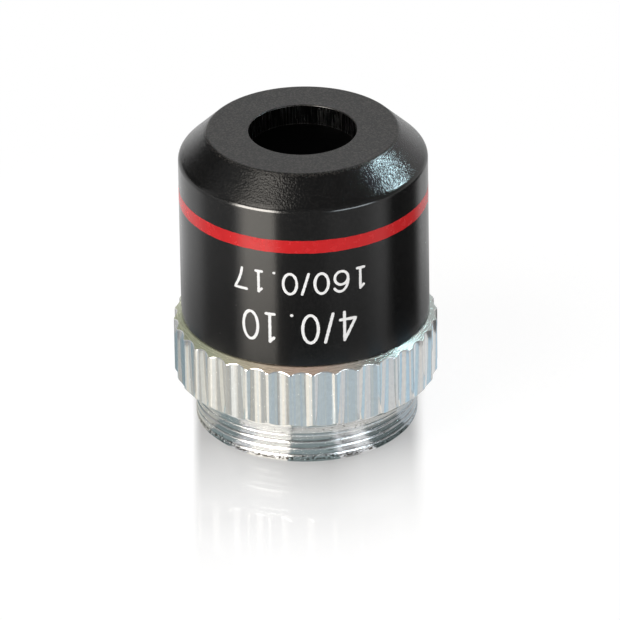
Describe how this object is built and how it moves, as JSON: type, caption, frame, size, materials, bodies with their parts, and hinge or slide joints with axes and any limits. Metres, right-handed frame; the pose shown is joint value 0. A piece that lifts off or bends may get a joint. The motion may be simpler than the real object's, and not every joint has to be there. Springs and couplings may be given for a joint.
{
  "type": "microscope objective",
  "caption": "Low-power microscope objective: black bevelled barrel with a red band, fluted plated grip ring and standard mounting thread, with a cemented lens deep inside.",
  "frame": {"origin": "on the optical axis in the plane of the shoulder that seats on the nosepiece", "axes": "+Z along the optical axis from the shoulder towards the front face and the specimen, -Y towards the side that carries the numbers"},
  "size_m": [0.024, 0.024, 0.0289],
  "materials": {
    "plated_metal": "bright nickel plate on turned brass, polished flutes",
    "black_enamel": "satin black baked enamel with a fine grain",
    "red_enamel": "satin red enamel filled flush",
    "blackened_brass": "matt chemical black",
    "crown_glass": "polished, coated",
    "flint_glass": "polished, coated"
  },
  "bodies": {
    "root": {"thread_mount": "plated_metal", "nose_sleeve": "black_enamel", "colour_band": "red_enamel", "lens_cell": "blackened_brass", "crown_lens": "crown_glass", "flint_lens": "flint_glass", "aperture_stop": "blackened_brass", "lens_retaining_ring": "blackened_brass", "parfocal_lock_ring": "blackened_brass"}
  },
  "joints": []
}
